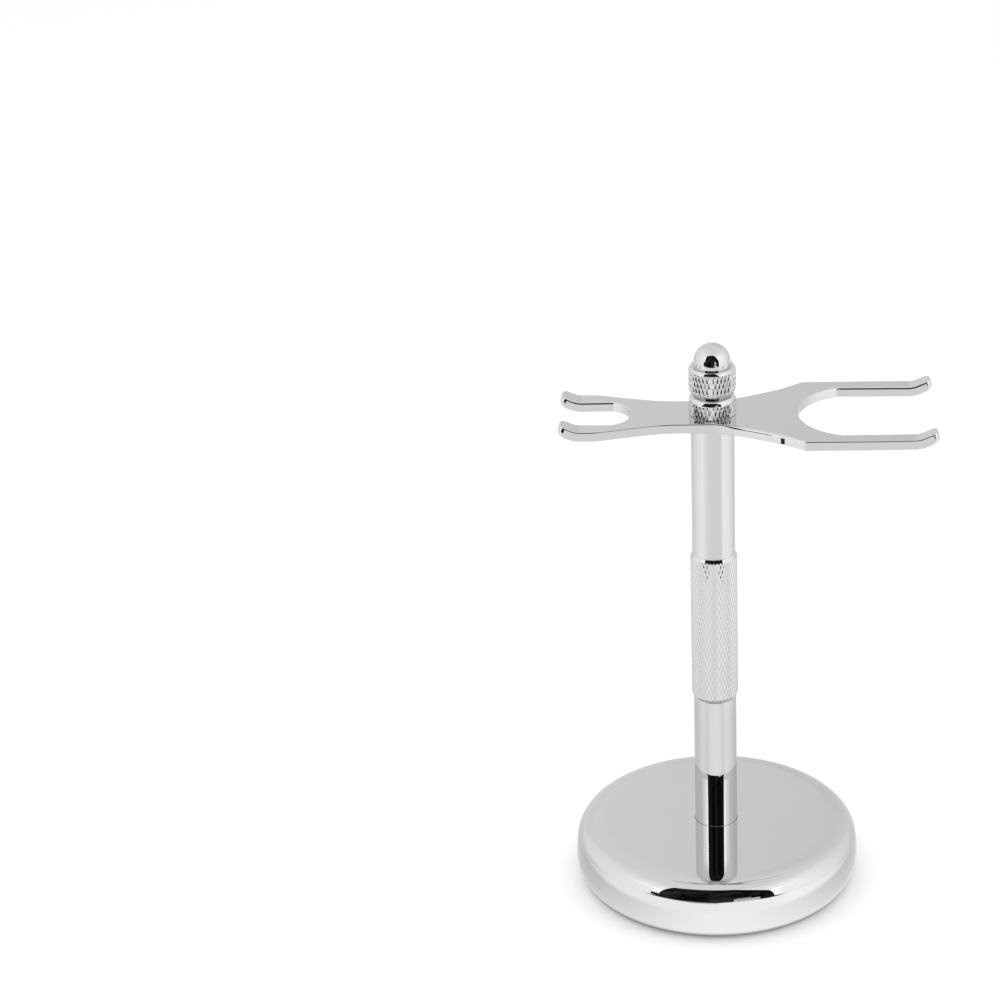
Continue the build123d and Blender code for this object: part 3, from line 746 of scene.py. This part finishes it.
def spline(points, start_slope, end_slope, count=60):
    """Clamped cubic through points by chord length, sampled evenly."""
    knots = np.array(points, float)
    chords = np.linalg.norm(np.diff(knots, axis=0), axis=1)
    places = np.concatenate([[0], np.cumsum(chords)])
    size = len(knots)
    start = np.array(start_slope, float) / np.linalg.norm(start_slope)
    end = np.array(end_slope, float) / np.linalg.norm(end_slope)
    system = np.zeros((size, size))
    known = np.zeros((size, 2))
    system[0, 0], system[0, 1] = 2 * chords[0], chords[0]
    known[0] = 6 * ((knots[1] - knots[0]) / chords[0] - start)
    system[-1, -1], system[-1, -2] = 2 * chords[-1], chords[-1]
    known[-1] = 6 * (end - (knots[-1] - knots[-2]) / chords[-1])
    for i in range(1, size - 1):
        before, after = chords[i - 1], chords[i]
        system[i, i - 1], system[i, i], system[i, i + 1] = before, 2 * (before + after), after
        known[i] = 6 * ((knots[i + 1] - knots[i]) / after - (knots[i] - knots[i - 1]) / before)
    curve = np.linalg.solve(system, known)
    out = []
    for place in np.linspace(0, places[-1], count):
        i = min(size - 2, max(0, int(np.searchsorted(places, place, side="right") - 1)))
        left, done, chord = places[i + 1] - place, place - places[i], chords[i]
        out.append(tuple(
            curve[i] * left**3 / (6 * chord)
            + curve[i + 1] * done**3 / (6 * chord)
            + (knots[i] / chord - curve[i] * chord / 6) * left
            + (knots[i + 1] / chord - curve[i + 1] * chord / 6) * done
        ))
    return out


def arc(centre_x, centre_y, radius, start, end, steps):
    angles = [start + (end - start) * k / steps for k in range(steps + 1)]
    return [(centre_x + radius * math.cos(a), centre_y + radius * math.sin(a)) for a in angles]


def tip_corner(x, y, quarter):
    """Rounded corner about (x, y), starting at the given quarter turn."""
    return arc(x, y, TIP_CORNER, quarter * pi / 2, (quarter + 1) * pi / 2, steps=10)


def throat(apex, radius, stop):
    """Half of a slot's round end, from x = apex on the axis to x = stop."""
    side = 1 if stop > apex else -1
    centre = apex + side * radius
    stop_y = math.sqrt(radius**2 - (centre - stop) ** 2)
    start = pi if side > 0 else 0.0
    return arc(centre, 0.0, radius, start, math.atan2(stop_y, stop - centre), steps=60)


def plate_outline():
    """Closed outline; the half with y > 0 is drawn, then mirrored."""
    half = throat(apex=23.1, radius=16.5, stop=34.5)
    half += tip_corner(BRUSH_TIP - TIP_CORNER, BRUSH_IN + TIP_CORNER, -1)
    half += tip_corner(BRUSH_TIP - TIP_CORNER, BRUSH_OUT - TIP_CORNER, 0)
    half += [(44.0, 20.25)]
    half += spline(BRUSH_EDGE, (-1, -0.76), (-1, -0.29))
    half += spline(RAZOR_EDGE, (-1, 0), (-1, 0))
    half += tip_corner(RAZOR_TIP + TIP_CORNER, RAZOR_OUT - TIP_CORNER, 1)
    half += tip_corner(RAZOR_TIP + TIP_CORNER, RAZOR_IN + TIP_CORNER, 2)
    half += list(reversed(throat(apex=-22.2, radius=8.0, stop=-27.2)))
    return half[:-1] + [(x, -y) for x, y in reversed(half[1:])]


def resample(points, spacing):
    path = np.array(points + [points[0]], float)
    steps = np.linalg.norm(np.diff(path, axis=0), axis=1)
    path = path[np.concatenate([[True], steps > 1e-9])]
    steps = np.linalg.norm(np.diff(path, axis=0), axis=1)
    places = np.concatenate([[0], np.cumsum(steps)])
    count = int(round(places[-1] / spacing))
    wanted = np.arange(count) / count * places[-1]
    return np.stack([np.interp(wanted, places, path[:, i]) for i in (0, 1)], 1)


# The outline is sampled finely, blurred to soften its corners and then thinned.
FINE_STEP, CORNER_BLUR, THIN = 0.06, 0.34, 4
fine = resample(plate_outline(), FINE_STEP)
sigma = CORNER_BLUR / FINE_STEP
offsets = np.arange(-int(4 * sigma), int(4 * sigma) + 1)
kernel = np.exp(-0.5 * (offsets / sigma) ** 2)
kernel /= kernel.sum()
soft = np.zeros_like(fine)
for weight, offset in zip(kernel, offsets):
    soft += weight * np.roll(fine, -int(offset), axis=0)
rim = soft[::THIN]
along = np.roll(soft, -2, axis=0) - np.roll(soft, 2, axis=0)
along = along / np.linalg.norm(along, axis=1)[:, None]
along = along[::THIN]
rim_out = np.stack([along[:, 1], -along[:, 0]], 1)
RIM_COUNT = len(rim)


def smooth01(value):
    value = np.clip(value, 0.0, 1.0)
    return value * value * (3 - 2 * value)


def blur_round(weights, window):
    """Running average along the closed rim."""
    reach = len(window) // 2
    wrapped = np.concatenate([weights[-reach:], weights, weights[:reach]])
    return np.convolve(wrapped, window, "valid")


def edge_sizes():
    """Edge rounding along the rim: lower height, lower inset, upper radius."""
    x, y = rim.T
    out_x, out_y = rim_out.T
    at_tip = (x > BRUSH_TIP - 2.5) | (x < RAZOR_TIP + 2.5)
    tip = np.where(at_tip, smooth01((abs(out_x) - 0.3) / 0.6), 0.0)
    # the blanked slot edges are a little softer than the outer ones
    in_slot = (out_y * y < 0) | (abs(y) < np.where(x > 0, 15.6, 7.6))
    slot = blur_round(((abs(x) > 20) & in_slot).astype(float), np.ones(19) / 19)
    # the ends of the prongs are rolled under
    roll = np.where(at_tip, smooth01(abs(out_x) / 0.14), 0.0)
    roll = blur_round(roll, np.array([1, 2, 3, 4, 3, 2, 1]) / 16.0)
    # the waist beside the brush fork was polished rounder
    waist = np.where(out_y * y > 0, smooth01((x - 2.5) / 4.0) * smooth01((23.0 - x) / 5.0), 0.0)
    plain = 0.33
    upper = plain + 0.17 * tip + 0.30 * slot * (1 - tip) + 0.50 * waist
    return plain + 1.45 * roll, plain + 0.72 * roll, upper


EDGE_STEPS = 6
HOLE_SEGMENTS = 96
HOLE_R, HOLE_BREAK = 3.08, 0.12  # stud hole and its lightly broken edges
verts, norms, faces = [], [], []


def plate_edge():
    """Rounded wall round the outline, from the lower face to the upper."""
    low_height, low_inset, high_radius = edge_sizes()
    quarters = [pi / 2 * k / EDGE_STEPS for k in range(EDGE_STEPS + 1)]
    bands = [(True, -pi / 2 + angle) for angle in quarters]
    bands += [(False, angle) for angle in quarters]
    for is_low, angle in bands:
        cos, sin = math.cos(angle), math.sin(angle)
        for i in range(RIM_COUNT):
            height = low_height[i] if is_low else high_radius[i]
            width = low_inset[i] if is_low else height
            centre = PLATE_LOW + height if is_low else PLATE_HIGH - height
            x, y = rim[i] - rim_out[i] * (width * (1 - cos))
            verts.append((x, y, centre + height * sin))
            level, up = cos / width, sin / height
            size = math.hypot(level, up)
            norms.append((rim_out[i][0] * level / size, rim_out[i][1] * level / size,
                          up / size))
    loops = [range(k * RIM_COUNT, (k + 1) * RIM_COUNT) for k in range(len(bands))]
    for lower, upper in zip(loops[:-1], loops[1:]):
        faces.extend(band(lower, upper, RIM_COUNT))
    return loops[0], loops[-1]


def plate_hole():
    part_way = 0.035
    # (radius, z, normal r, normal z)
    profile = [
        (HOLE_R + HOLE_BREAK, PLATE_LOW, 0, -1),
        (HOLE_R + part_way, PLATE_LOW + part_way, -0.707, -0.707),
        (HOLE_R, PLATE_LOW + HOLE_BREAK, -1, 0),
        (HOLE_R, PLATE_HIGH - HOLE_BREAK, -1, 0),
        (HOLE_R + part_way, PLATE_HIGH - part_way, -0.707, 0.707),
        (HOLE_R + HOLE_BREAK, PLATE_HIGH, 0, 1),
    ]
    loops = []
    for radius, z, out, up in profile:
        loops.append(range(len(verts), len(verts) + HOLE_SEGMENTS))
        for k in range(HOLE_SEGMENTS):
            cos, sin = math.cos(2 * pi * k / HOLE_SEGMENTS), math.sin(2 * pi * k / HOLE_SEGMENTS)
            verts.append((radius * cos, radius * sin, z))
            norms.append((out * cos, out * sin, up))
    for lower, upper in zip(loops[:-1], loops[1:]):
        for k in range(HOLE_SEGMENTS):
            nxt = (k + 1) % HOLE_SEGMENTS
            faces.append((lower[k], upper[k], upper[nxt], lower[nxt]))
    return loops[0], loops[-1]


def inside(x, y, outline):
    """Whether a line from the point crosses the outline an odd number of times."""
    from_x, from_y = outline[:, 0], outline[:, 1]
    to_x, to_y = np.roll(from_x, -1), np.roll(from_y, -1)
    crosses = (from_y > y) != (to_y > y)
    rise = np.where(to_y == from_y, 1e-12, to_y - from_y)
    cross_x = (to_x - from_x) * (y - from_y) / rise + from_x
    return bool(np.count_nonzero(crosses & (x < cross_x)) % 2)


def fill_face(rim_loop, hole_loop, z, up):
    """Triangulate a face over a grid of points, denser in the bent ends."""
    ids = [*rim_loop, *hole_loop]
    points = [Vector((verts[i][0], verts[i][1])) for i in ids]
    edges = [(i, (i + 1) % RIM_COUNT) for i in range(RIM_COUNT)]
    edges += [(RIM_COUNT + i, RIM_COUNT + (i + 1) % HOLE_SEGMENTS)
              for i in range(HOLE_SEGMENTS)]
    outline = np.array([(verts[i][0], verts[i][1]) for i in rim_loop])
    columns = [*np.arange(RAZOR_BEND + 1, BRUSH_BEND - 0.5, 1.6),
               *np.arange(BRUSH_BEND - 0.4, BRUSH_TIP - 0.9, 0.32),
               *np.arange(RAZOR_TIP + 0.9, RAZOR_BEND + 0.6, 0.32)]
    for x in columns:
        gap = 1.0 if (x > BRUSH_BEND - 1 or x < RAZOR_BEND + 1) else 1.6
        for y in np.arange(-19.9, 20.0, gap):
            if math.hypot(x, y) < HOLE_R + 0.9 or not inside(x, y, outline):
                continue
            if np.min((outline[:, 0] - x) ** 2 + (outline[:, 1] - y) ** 2) < 0.45**2:
                continue
            points.append(Vector((x, y)))
            ids.append(len(verts))
            verts.append((x, y, z))
            norms.append((0, 0, up))
    flat, _, cells, origins = delaunay_2d_cdt(points, edges, [], 1, 1e-7)[:4]
    source = [origin[0] if origin else None for origin in origins]
    for cell in cells:
        if any(source[i] is None for i in cell):
            continue
        centre = sum((flat[i] for i in cell), Vector((0, 0))) / len(cell)
        in_hole = centre.length < (HOLE_R + HOLE_BREAK) * 0.9991
        if in_hole or not inside(centre.x, centre.y, outline):
            continue
        face = [ids[source[i]] for i in cell]
        a, b, c = (np.array(verts[i][:2]) for i in face[:3])
        area = (b[0] - a[0]) * (c[1] - a[1]) - (b[1] - a[1]) * (c[0] - a[0])
        if (area > 0) != (up > 0):
            face.reverse()
        faces.append(tuple(face))


def bend(vert, normal):
    """Place of a flat plate's point and normal once the prong ends turn up."""
    x, y, z = vert
    for start, side in ((BRUSH_BEND, 1), (RAZOR_BEND, -1)):
        past = (x - start) * side
        if past <= 0:
            continue
        angle = min(past / BEND_MID_R, BEND_ANGLE)
        cos, sin = math.cos(angle), math.sin(angle)
        rest = max(0.0, past - BEND_MID_R * BEND_ANGLE)
        centre_z = PLATE_HIGH + BEND_R
        radius = centre_z - z
        bent = (start + side * (radius * sin + rest * cos), y,
                centre_z - radius * cos + rest * sin)
        out, up = normal[0] * side, normal[2]
        return bent, ((out * cos - up * sin) * side, normal[1], out * sin + up * cos)
    return vert, normal


low_rim, high_rim = plate_edge()
low_hole, high_hole = plate_hole()
fill_face(low_rim, low_hole, PLATE_LOW, -1)
fill_face(high_rim, high_hole, PLATE_HIGH, 1)
bent_verts, bent_norms = zip(*(bend(v, n) for v, n in zip(verts, norms)))
add_piece("fork_plate_chromed", bent_verts, faces, PLATE_CHROME,
          ("fork", "fork_plate", "chrome_plate"), normals=bent_norms)

# ============================================================ threaded hardware
for node in ("clamp_stud", "lower_joint_stud", "upper_joint_stud"):
    threaded(node + "_threaded", *z_span(node), ZINC, ("stand", node, "zinc_steel"))

# ================================================== finishes of the kept CAD nodes
for node, material in {
    "base_weight": IRON,
    "base_screw": ZINC,
    "base_spring_washer": SPRING,
    "base_flat_washer": ZINC,
    "foot_gasket": FIBRE,
    "bearing_washer": NYLON,
    "clamp_washer": SPRING,
}.items():
    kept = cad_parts[node]
    if not kept.material_slots:
        kept.data.materials.append(material)
    for slot in kept.material_slots:
        slot.material = material


# ========================================================================= floor
# The stand is lit inside a white tent that is open towards the camera. The
# floor is matt white; mirror-finish parts see it with the tent's own falloff.
# From here on lengths are in metres and angles in degrees from the front.
OPEN_Y, OPEN_L, OPEN_R, OPEN_H = -0.385, -0.376, 0.362, 0.715

# mirrored brightness of the floor as (angle, brightness): far from the stand,
GLOW_FAR = [
    (-180, 0.93), (-150, 0.93), (-131, 0.94), (-107, 1.11), (-83, 1.26), (-67, 1.30),
    (-56, 1.32), (-44, 1.22), (-32, 1.12), (-20, 1.08), (0, 1.06), (32, 1.06), (40, 1.08),
    (44, 1.14), (50, 1.34), (56, 1.38), (67, 1.33), (83, 1.32), (107, 1.17), (131, 0.92),
    (150, 0.92), (180, 0.93)]
# in the middle distance at a steep glance,
GLOW_STEEP = [
    (-180, 0.82), (-129, 0.83), (-106, 0.90), (-81, 1.07), (-66, 1.12), (-54, 1.08),
    (-43, 1.02), (-31, 1.13), (-19, 1.20), (0, 1.23), (19, 1.20), (31, 1.11), (43, 1.05),
    (54, 1.17), (66, 1.15), (81, 1.10), (105, 0.95), (129, 0.78), (180, 0.80)]
# in the middle distance at a shallow glance,
GLOW_MID = [
    (-180, 0.86), (-111, 0.84), (-97, 0.88), (-83, 1.09), (-67, 1.30), (-50, 1.35),
    (-35, 1.36), (0, 1.40), (35, 1.45), (50, 1.50), (66, 1.41), (83, 1.24), (97, 1.0),
    (111, 0.88), (180, 0.86)]
# and beside the base
GLOW_NEAR = [
    (-180, 0.80), (-110, 0.78), (-90, 0.78), (-75, 0.85), (-60, 0.99), (-45, 1.12),
    (-30, 1.25), (-15, 1.39), (0, 1.46), (15, 1.45), (30, 1.36), (45, 1.26), (60, 1.10),
    (75, 0.95), (90, 0.86), (110, 0.80), (180, 0.80)]
# (angle, steepest glance that meets the dark opening)
LOW_GLANCE = [(-60, 11.2), (-10, 11.2), (0, 11.0), (9, 3.5), (14, 0.5), (27, 0.5),
              (33, 9.5), (60, 11.5)]


def mirrored_floor(graph, coords):
    """Brightness of the floor as the mirror-finish parts see it."""
    spot = graph.axes(coords)
    x, y = spot["X"], spot["Y"]
    squares = graph.add(graph.multiply(x, x), graph.multiply(y, y))
    radius = graph.maths("SQRT", squares)
    angle = graph.polar(x, y)
    incoming = graph.axes(graph.node("NewGeometry").outputs["Incoming"])["Z"]
    # 0 at a grazing glance, -90 straight down
    dip = graph.multiply(graph.maths("ARCSINE", incoming), -180 / pi)
    far = graph.ramp(angle, GLOW_FAR)
    steep = graph.ramp(angle, GLOW_STEEP)
    mid = graph.ramp(angle, GLOW_MID)
    mid = graph.blend(graph.remap(dip, (-28.0, -25.5), FALL), mid, steep)
    near = graph.ramp(angle, GLOW_NEAR)
    glow = graph.blend(graph.remap(radius, (0.0575, 0.064)), near, mid)
    glow = graph.blend(graph.remap(radius, (0.095, 0.150)), glow, far)
    # contact shadow under the base
    glow = graph.multiply(glow, graph.remap(radius, (0.0370, 0.0394), (0.22, 1.0)))
    # painted dark line in the floor's reflection at the front left, only where the mirrored ray
    # is long
    painted_dark_line = graph.multiply(graph.between(angle, -57.8, -55.4, soft=0.2),
                          graph.between(radius, 0.302, 0.313, soft=0.001))
    painted_dark_line = graph.multiply(painted_dark_line, graph.remap(graph.ray("Ray Length"), (0.3385, 0.3405)))
    glow = graph.darken(glow, painted_dark_line, amount=0.97)
    # at a low glance the glossy table carries the dark opening instead of white
    low = graph.remap(graph.add(dip, graph.ramp(angle, LOW_GLANCE)), (-1.8, 1.8))
    low = graph.multiply(low, graph.between(angle, -47.0, 45.0, soft=1.5))
    reach = graph.maths("MAXIMUM", graph.remap(radius, (0.205, 0.235), FALL),
                        graph.remap(dip, (-8.0, -5.5)))
    glow = graph.darken(glow, graph.multiply(low, reach), amount=0.97)
    # beyond the front of the table it is dark, but only inside the opening
    beyond = graph.multiply(graph.remap(y, (OPEN_Y - 0.003, OPEN_Y + 0.003), FALL),
                            graph.between(angle, -44.3, 43.4, soft=0.5))
    return graph.darken(glow, beyond, amount=0.985)


def floor_material():
    material, graph, shader, coords, surface = principled("pale_floor")
    shader.inputs["Roughness"].default_value = 0.55
    shader.inputs["Specular IOR Level"].default_value = 0.25
    cloud = graph.noise(coords, scale=3.0, detail=3.0)
    white = graph.colour_mix(cloud, (0.935, 0.935, 0.935), (0.915, 0.915, 0.915))
    graph.feed(white, shader.inputs["Base Color"])
    emission = graph.node("Emission")
    graph.feed(mirrored_floor(graph, coords), emission.inputs["Strength"])
    mix = graph.node("MixShader")
    graph.feed(graph.ray("Is Glossy Ray"), mix.inputs["Fac"])
    graph.feed(shader.outputs["BSDF"], mix.inputs[1])
    graph.feed(emission.outputs["Emission"], mix.inputs[2])
    graph.feed(mix.outputs["Shader"], surface)
    material.cycles.emission_sampling = "NONE"
    return material


def stage_mesh(name, corners, material):
    """One flat face of the surroundings."""
    mesh = bpy.data.meshes.new(name)
    mesh.from_pydata(corners, [], [tuple(range(len(corners)))])
    mesh.materials.append(material)
    piece = bpy.data.objects.new(name, mesh)
    scene.collection.objects.link(piece)
    return piece


stage_mesh("stage_floor", [(-4, -4, 0), (4, -4, 0), (4, 5, 0), (-4, 5, 0)], floor_material())


# ================================================================= mirrored cards
def card(name, outline, ahead, level, ragged=False, reflection_rise_switch=None, above=0.008):
    """Upright panel that only mirror-finish surfaces see. outline holds (x, z);
    ahead is how far it stands inside the tent's opening. ragged gives it cloudy
    brightness. reflection_rise_switch is the rise in degrees past which level becomes
    above: a painted switch of the mirrored brightness with the ray's rise."""
    material, graph, surface = blank(name)
    emission = graph.node("Emission")
    strength = emission.inputs["Strength"]
    strength.default_value = level
    if ragged:
        coords = graph.node("TexCoord").outputs["Object"]
        cloud = graph.noise(coords, scale=9.0, detail=3.0, rough=0.6)
        graph.feed(graph.remap(cloud, (0.45, 0.75), (level, level * 6 + 0.02)), strength)
    # painted reflection: past the switch rise the card's mirrored brightness changes from level
    # to above
    if reflection_rise_switch is not None:
        incoming = graph.axes(graph.node("NewGeometry").outputs["Incoming"])["Z"]
        rise = graph.multiply(incoming, -1.0)
        turn = math.sin(math.radians(reflection_rise_switch))
        graph.feed(graph.remap(rise, (turn - 0.03, turn + 0.03), (level, above)), strength)
    graph.feed(emission.outputs["Emission"], surface)
    material.cycles.emission_sampling = "NONE"
    panel = stage_mesh(name, [(x, OPEN_Y + ahead, z) for x, z in outline], material)
    panel.visible_camera = False
    panel.visible_diffuse = False
    panel.visible_shadow = False
    panel.visible_transmission = False


def oblong(x0, x1, z0, z1):
    return [(x0, z0), (x1, z0), (x1, z1), (x0, z1)]


card("stage_opening", oblong(OPEN_L, OPEN_R, 0.0, OPEN_H), ahead=0.0, level=0.006, ragged=True)
card("stage_low_left", oblong(OPEN_L - 0.095, OPEN_L, 0.0, 0.105), ahead=0.0015, level=0.006)
card("stage_flap_left", oblong(OPEN_L - 0.095, OPEN_L, 0.105, 0.32), ahead=0.001, level=0.008,
     reflection_rise_switch=9.5, above=1.65)
card("stage_flap_right", oblong(OPEN_R, OPEN_R + 0.09, 0.0, 0.32), ahead=0.001, level=1.62)
card("stage_low_box", oblong(0.082, 0.238, 0.0, 0.072), ahead=0.003, level=0.76)
card("stage_window", oblong(0.098, 0.182, 0.085, 0.300), ahead=0.002, level=0.62, reflection_rise_switch=14.0)
card("stage_corner", [(OPEN_R, 0.30), (OPEN_R, OPEN_H + 0.001), (0.14, OPEN_H + 0.001)],
     ahead=0.002, level=1.30)

# ========================================================================= world
# mirrored brightness of the tent wall as (angle, brightness)
WALL = [
    (-180, 0.985), (-176, 1.05), (-160, 1.06), (-143, 1.04), (-130, 1.12), (-112, 1.19),
    (-90, 1.26), (-70, 1.34), (-50, 1.40), (50, 1.45), (68, 1.43), (90, 1.32), (110, 1.19),
    (128, 1.07), (143, 0.98), (160, 0.97), (176, 0.925), (180, 0.985)]
# slim strip lamps left and right of the opening
STRIPS = [
    (-84, 0.0), (-76, 1.60), (-56, 1.95), (-50, 2.5), (-44, 2.5), (-43, 0.0), (43, 0.0),
    (44, 2.6), (50, 2.6), (56, 1.95), (76, 1.60), (84, 0.0)]
ROOF = 1.08


def build_world():
    """Even white light, except that mirrors see the tent's wall, roof and lamps."""
    world = bpy.data.worlds.new("tent")
    scene.world = world
    world.use_nodes = True
    graph = Graph(world.node_tree)
    background = graph.tree.nodes["Background"]
    heading = graph.axes(graph.node("TexCoord").outputs["Generated"])
    angle = graph.polar(heading["X"], heading["Y"])
    wall = graph.ramp(angle, WALL)
    glow = graph.blend(graph.remap(heading["Z"], (0.62, 0.90)), wall, ROOF)
    strips = graph.ramp(angle, STRIPS)
    rise = graph.multiply(graph.maths("ARCSINE", heading["Z"]), 180 / pi)
    slim = graph.between(rise, 29.1, 31.5, soft=0.3)
    # the wall behind the stand is dimmer low down
    back = graph.remap(graph.maths("ABSOLUTE", angle), (140.0, 158.0))
    dim = graph.remap(rise, (24.8, 29.0), (0.925, 0.975))
    glow = graph.multiply(glow, graph.blend(back, 1.0, dim))
    glow = graph.maths("MAXIMUM", glow, graph.multiply(strips, slim))
    glow = graph.blend(graph.ray("Is Glossy Ray"), 1.0, glow)
    graph.feed(glow, background.inputs["Strength"])
    background.inputs["Color"].default_value = (1, 1, 1, 1)
    world.cycles.sampling_method = "NONE"


build_world()

# ======================================================================== lights
LIGHT_TARGET = Vector((0, 0, 0.05))


def area(name, place, width, height, radiance):
    """Soft panel; radiance is its brightness, where 1 is paper white."""
    light = bpy.data.lights.new(name, "AREA")
    light.shape = "RECTANGLE"
    light.size, light.size_y = width, height
    light.energy = radiance * width * height * pi
    lamp = bpy.data.objects.new(name, light)
    lamp.location = place
    lamp.rotation_mode = "QUATERNION"
    lamp.rotation_quaternion = (LIGHT_TARGET - Vector(place)).to_track_quat("-Z", "Y")
    scene.collection.objects.link(lamp)
    lamp.visible_camera = False
    lamp.visible_glossy = False


area("side_left", place=(-0.55, -0.05, 0.55), width=0.6, height=0.5, radiance=1.1)
area("side_right", place=(0.55, -0.05, 0.45), width=0.6, height=0.5, radiance=0.9)
area("top", place=(0.0, 0.0, 0.90), width=0.7, height=0.7, radiance=0.8)

# ======================================================================== camera
CAMERA_PLACE = (0, -0.849461, 0.516576)
PAN, TILT, ROLL = -0.0687390, 0.4382340, -0.0386691  # radians; tilt is downwards

camera = bpy.data.cameras.new("camera")
camera.sensor_width = 36.0
camera.sensor_fit = "HORIZONTAL"
camera.lens = 123.188652
camera.clip_start, camera.clip_end = 0.05, 20
viewer = bpy.data.objects.new("camera", camera)
scene.collection.objects.link(viewer)
forward = Vector((math.sin(PAN) * math.cos(TILT), math.cos(PAN) * math.cos(TILT),
                  -math.sin(TILT)))
level_right = Vector((math.cos(PAN), -math.sin(PAN), 0))
level_up = level_right.cross(forward)
right = level_right * math.cos(ROLL) + level_up * math.sin(ROLL)
up = level_up * math.cos(ROLL) - level_right * math.sin(ROLL)
matrix = Matrix((right, up, -forward)).transposed().to_4x4()
matrix.translation = Vector(CAMERA_PLACE)
viewer.matrix_world = matrix
scene.camera = viewer

scene.view_settings.view_transform = "Standard"
scene.view_settings.look = "None"
